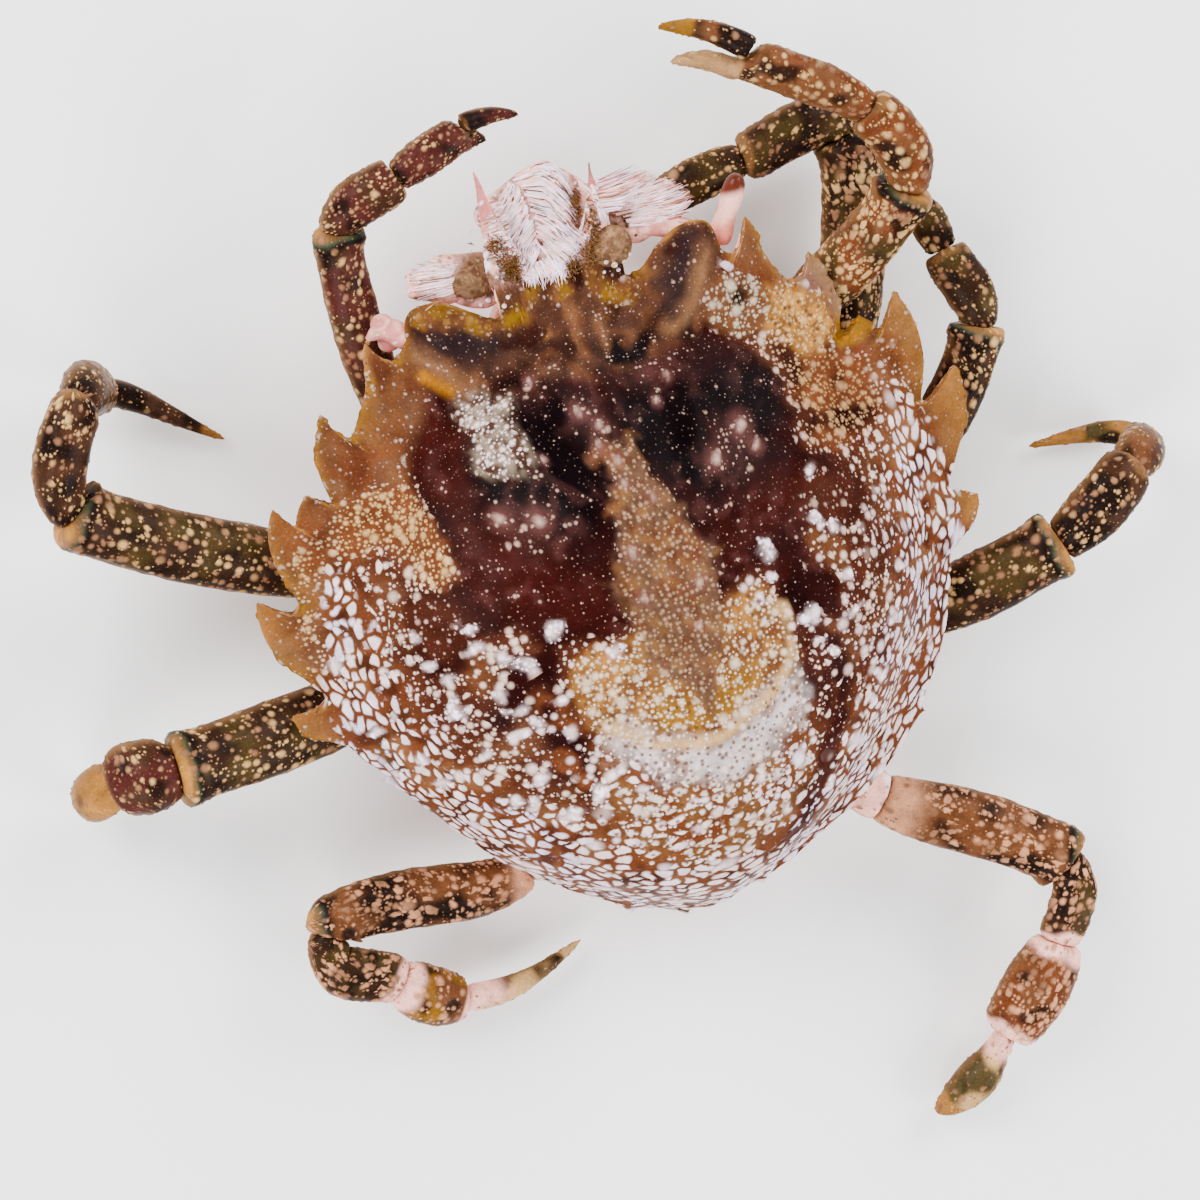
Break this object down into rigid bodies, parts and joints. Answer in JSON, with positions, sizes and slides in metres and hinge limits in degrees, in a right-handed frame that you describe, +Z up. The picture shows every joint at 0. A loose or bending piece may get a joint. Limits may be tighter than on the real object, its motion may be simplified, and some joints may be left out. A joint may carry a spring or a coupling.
{
  "type": "spider crab specimen",
  "caption": "Preserved spider crab with a broad toothed carapace, hairy snout, slender claws and folded spotted legs, resting flat on its belly.",
  "frame": {"origin": "centre of the flat spot on the belly flap, the face it rests on", "axes": "+Z up away from the belly, +Y towards the snout, +X towards the crab's right side"},
  "size_m": [0.046, 0.0466, 0.0117],
  "materials": {
    "shell": "semi-gloss, mottled brown and maroon with white spots",
    "underside": "satin, cream",
    "limb_root": "satin, pale pink",
    "claw_limb": "semi-gloss, red-brown with cream spots",
    "dark_limb": "semi-gloss, dark brown with cream spots",
    "pale_limb": "semi-gloss, pink-tan with brown net",
    "claw_tip": "satin, tan",
    "eye": "gloss, pink",
    "velvet": "velvety brown",
    "hair": "matt, pinkish white"
  },
  "bodies": {
    "root": {"carapace": "shell", "chest_plate": "underside", "tail_flap": "underside", "left_mouth_plate": "underside", "right_mouth_plate": "underside", "left_eye": "eye", "right_eye": "eye", "left_antenna": "velvet", "right_antenna": "velvet", "snout_hair": "hair", "left_claw_leg_base": "limb_root", "left_claw_leg_merus": "claw_limb", "left_claw_leg_carpus": "claw_limb", "left_claw_leg_palm": "claw_limb", "left_claw_leg_finger": "claw_tip", "left_second_leg_base": "limb_root", "left_second_leg_merus": "dark_limb", "left_second_leg_carpus": "dark_limb", "left_second_leg_propodus": "dark_limb", "left_second_leg_dactylus": "claw_tip", "left_third_leg_base": "limb_root", "left_third_leg_merus": "dark_limb", "left_third_leg_carpus": "dark_limb", "left_third_leg_propodus": "dark_limb", "left_third_leg_dactylus": "claw_tip", "left_fifth_leg_base": "limb_root", "left_fifth_leg_merus": "pale_limb", "left_fifth_leg_carpus": "pale_limb", "left_fifth_leg_propodus": "pale_limb", "left_fifth_leg_dactylus": "claw_tip", "right_claw_leg_base": "limb_root", "right_claw_leg_merus": "claw_limb", "right_claw_leg_carpus": "claw_limb", "right_claw_leg_palm": "claw_limb", "right_claw_leg_finger": "claw_tip", "right_second_leg_base": "limb_root", "right_second_leg_merus": "dark_limb", "right_second_leg_carpus": "dark_limb", "right_second_leg_propodus": "dark_limb", "right_second_leg_dactylus": "claw_tip", "right_third_leg_base": "limb_root", "right_third_leg_merus": "dark_limb", "right_third_leg_carpus": "dark_limb", "right_third_leg_propodus": "dark_limb", "right_third_leg_dactylus": "claw_tip", "right_fourth_leg_base": "limb_root", "right_fourth_leg_merus": "dark_limb", "right_fourth_leg_carpus": "dark_limb", "right_fourth_leg_propodus": "dark_limb", "right_fourth_leg_dactylus": "claw_tip", "right_fifth_leg_base": "limb_root", "right_fifth_leg_merus": "pale_limb", "right_fifth_leg_carpus": "pale_limb", "right_fifth_leg_propodus": "pale_limb", "right_fifth_leg_dactylus": "claw_tip", "left_fourth_leg_stub": "limb_root"}
  },
  "joints": []
}
